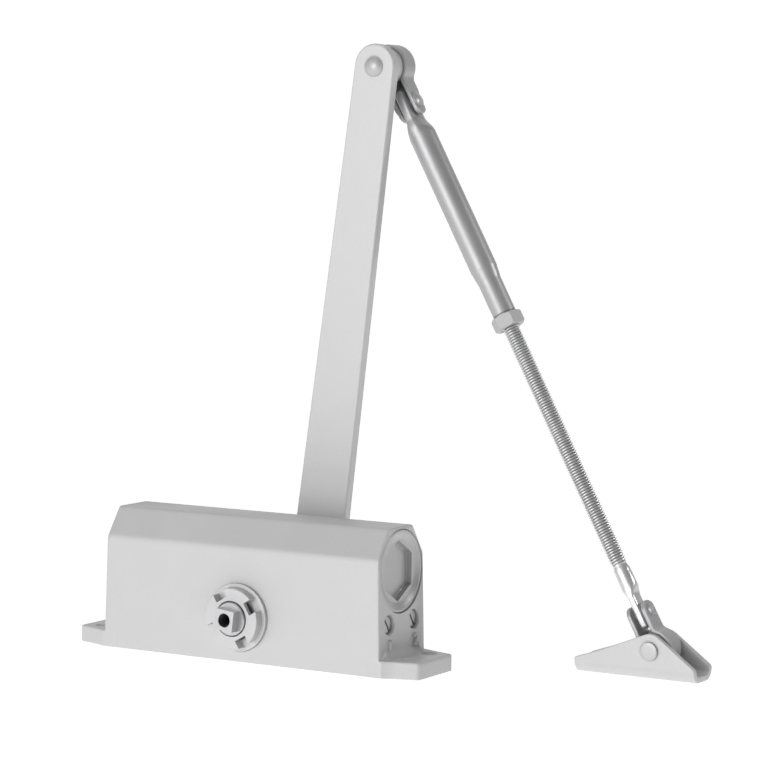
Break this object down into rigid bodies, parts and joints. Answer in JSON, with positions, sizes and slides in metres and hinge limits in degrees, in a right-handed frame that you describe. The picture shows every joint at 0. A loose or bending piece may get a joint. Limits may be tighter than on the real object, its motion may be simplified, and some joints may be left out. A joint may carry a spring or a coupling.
{
  "type": "door closer",
  "caption": "Overhead door closer with a rack-and-pinion body, two regulating valves, a two-piece link arm with an adjustable rod and a channel shoe.",
  "frame": {"origin": "centre of the four foot holes, on the mounting plane under the body's feet", "axes": "+Z out of the door face, +X along the body towards the regulating valves, -Y the side where the free square shaft end stands out and +Y the arm's side"},
  "size_m": [0.2909, 0.0984, 0.2821],
  "materials": {
    "casing_paint": "fine silver-grey lacquer on a die casting",
    "plug_paint": "silver-grey lacquer",
    "cap_paint": "silver-grey lacquer",
    "shaft_steel": "bright zinc",
    "valve_steel": "bright zinc",
    "screw_steel": "bright zinc",
    "inner_steel": "ground and oiled",
    "spring_steel": "oil-tempered spring wire",
    "guide_plastic": "bearing plastic",
    "rubber": "nitrile rubber",
    "arm_paint": "silver-grey lacquer on steel bar",
    "rivet_paint": "silver-grey lacquer",
    "knuckle_paint": "silver-grey lacquer on stamped steel",
    "tube_paint": "silver-grey lacquer on steel tube",
    "rod_zinc": "silver-grey lacquer over thread",
    "shoe_paint": "silver-grey lacquer on bent sheet"
  },
  "bodies": {
    "closer_body": {"body_casing": "casing_paint", "end_plug_right": "plug_paint", "end_plug_left": "plug_paint", "plug_seals": "rubber", "bearing_cap_front": "cap_paint", "bearing_cap_back": "cap_paint", "cap_seals": "rubber", "bearing_cups": "inner_steel", "needle_rollers": "inner_steel", "shaft_seals": "rubber", "thrust_washers": "inner_steel", "spring_washer": "inner_steel"},
    "pinion_and_arm": {"pinion_shaft": "shaft_steel", "main_arm": "arm_paint", "arm_screw": "screw_steel", "arm_washer": "screw_steel", "elbow_rivet": "rivet_paint"},
    "piston": {"rack_piston": "inner_steel", "piston_seal": "rubber", "piston_guide_ring": "guide_plastic", "check_ball_retainer": "inner_steel", "closing_spring": "spring_steel"},
    "check_valve": {"check_ball": "inner_steel"},
    "valve_1": {"valve_screw_1": "valve_steel", "valve_seal_1": "rubber"},
    "valve_2": {"valve_screw_2": "valve_steel", "valve_seal_2": "rubber"},
    "elbow": {"elbow_yoke": "knuckle_paint", "elbow_spacer": "arm_paint", "elbow_cross_pin": "rivet_paint"},
    "forearm": {"forearm_tube": "tube_paint", "lock_nut": "rod_zinc"},
    "rod": {"threaded_rod": "rod_zinc"},
    "link": {"shoe_link": "knuckle_paint", "link_cross_pin": "rivet_paint"},
    "shoe": {"shoe_bracket": "shoe_paint", "shoe_pin": "rivet_paint"}
  },
  "joints": [
    {"name": "arm_swing", "type": "hinge", "parent": "closer_body", "child": "pinion_and_arm", "pos_m": [0, 0, 0.02063], "axis": [0, -1, 0], "range_deg": [0, 180], "stiffness_Nm_per_rad": 5, "springref_deg": -34.38},
    {"name": "piston_slide", "type": "slide", "parent": "closer_body", "child": "piston", "axis": [-1, 0, 0], "range_m": [0, 0.0316], "deforming": ["closing_spring"]},
    {"name": "check_ball_lift", "type": "slide", "parent": "piston", "child": "check_valve", "axis": [1, 0, 0], "range_m": [0, 0.0015]},
    {"name": "valve_1_turn", "type": "hinge", "parent": "closer_body", "child": "valve_1", "pos_m": [0.06, -0.011, 0.0226], "axis": [1, 0, 0], "range_deg": [-360, 360]},
    {"name": "valve_2_turn", "type": "hinge", "parent": "closer_body", "child": "valve_2", "pos_m": [0.06, 0.011, 0.0226], "axis": [1, 0, 0], "range_deg": [-360, 360]},
    {"name": "elbow_pivot", "type": "hinge", "parent": "pinion_and_arm", "child": "elbow", "pos_m": [0.03171, 0.057, 0.27164], "axis": [0, -1, 0], "range_deg": [-36, 143]},
    {"name": "elbow_tilt", "type": "hinge", "parent": "elbow", "child": "forearm", "pos_m": [0.04146, 0.0574, 0.25417], "axis": [-0.873, 0, -0.4877], "range_deg": [-15, 15]},
    {"name": "rod_adjust", "type": "slide", "parent": "forearm", "child": "rod", "axis": [0.4876, -0.0157, -0.8729], "range_m": [-0.05, 0.015]},
    {"name": "link_tilt", "type": "hinge", "parent": "rod", "child": "link", "pos_m": [0.168, 0.05332, 0.02765], "axis": [-0.873, 0, -0.4877], "range_deg": [-15, 15]},
    {"name": "shoe_pivot", "type": "hinge", "parent": "link", "child": "shoe", "pos_m": [0.17624, 0.05332, 0.0129], "axis": [0, -1, 0], "range_deg": [-50, 105]}
  ],
  "couplings": [
    {"joint": "piston_slide", "follows": "arm_swing", "m_per_rad": 0.01}
  ]
}
